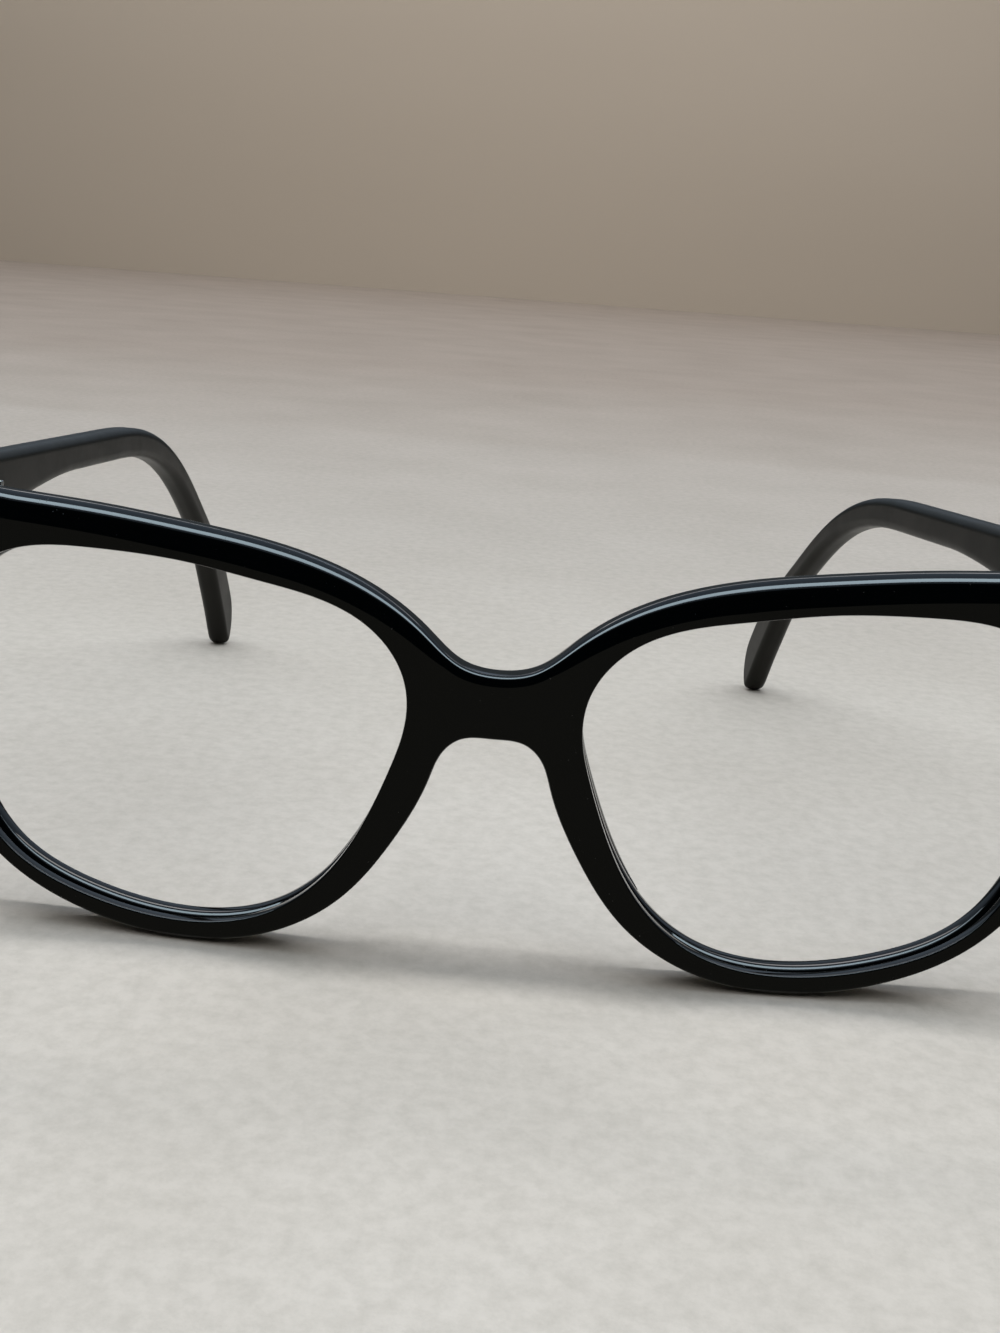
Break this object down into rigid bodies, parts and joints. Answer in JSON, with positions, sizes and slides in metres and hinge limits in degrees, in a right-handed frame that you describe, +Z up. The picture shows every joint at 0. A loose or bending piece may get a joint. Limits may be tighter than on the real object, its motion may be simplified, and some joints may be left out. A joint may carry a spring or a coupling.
{
  "type": "eyeglass frame",
  "caption": "Black acetate eyeglass frame without lenses, with a bevelled brow, folding temples on riveted barrel hinges and bonded nose pads.",
  "frame": {"origin": "on the floor under the middle of the part's bounding box, as it stands open", "axes": "+X towards the wearer's left side, +Y back along the temples, +Z up. The front faces -Y and leans back by 5 degrees."},
  "size_m": [0.1394, 0.1288, 0.0502],
  "materials": {
    "black_acetate": "polished black cellulose acetate",
    "hinge_metal": "satin nickel silver, tumbled",
    "screw_steel": "bright steel",
    "wire_metal": "drawn nickel silver wire"
  },
  "bodies": {
    "front": {"front": "black_acetate", "left_nose_pad": "black_acetate", "right_nose_pad": "black_acetate", "left_front_hinge_leaf": "hinge_metal", "right_front_hinge_leaf": "hinge_metal", "left_hinge_screw": "screw_steel", "right_hinge_screw": "screw_steel", "left_front_rivet_lower": "screw_steel", "left_front_rivet_upper": "screw_steel", "right_front_rivet_lower": "screw_steel", "right_front_rivet_upper": "screw_steel"},
    "left_temple": {"left_temple": "black_acetate", "left_temple_core_wire": "wire_metal", "left_temple_hinge_leaf": "hinge_metal", "left_temple_rivet_lower": "screw_steel", "left_temple_rivet_upper": "screw_steel"},
    "right_temple": {"right_temple": "black_acetate", "right_temple_core_wire": "wire_metal", "right_temple_hinge_leaf": "hinge_metal", "right_temple_rivet_lower": "screw_steel", "right_temple_rivet_upper": "screw_steel"}
  },
  "joints": [
    {"name": "left_temple_hinge", "type": "hinge", "parent": "front", "child": "left_temple", "pos_m": [0.06219, -0.04958, 0.04486], "axis": [0, 0.0863, 0.9963], "range_deg": [-8.2, 79]},
    {"name": "right_temple_hinge", "type": "hinge", "parent": "front", "child": "right_temple", "pos_m": [-0.06219, -0.04958, 0.04486], "axis": [0, -0.0863, -0.9963], "range_deg": [0, 82]}
  ]
}
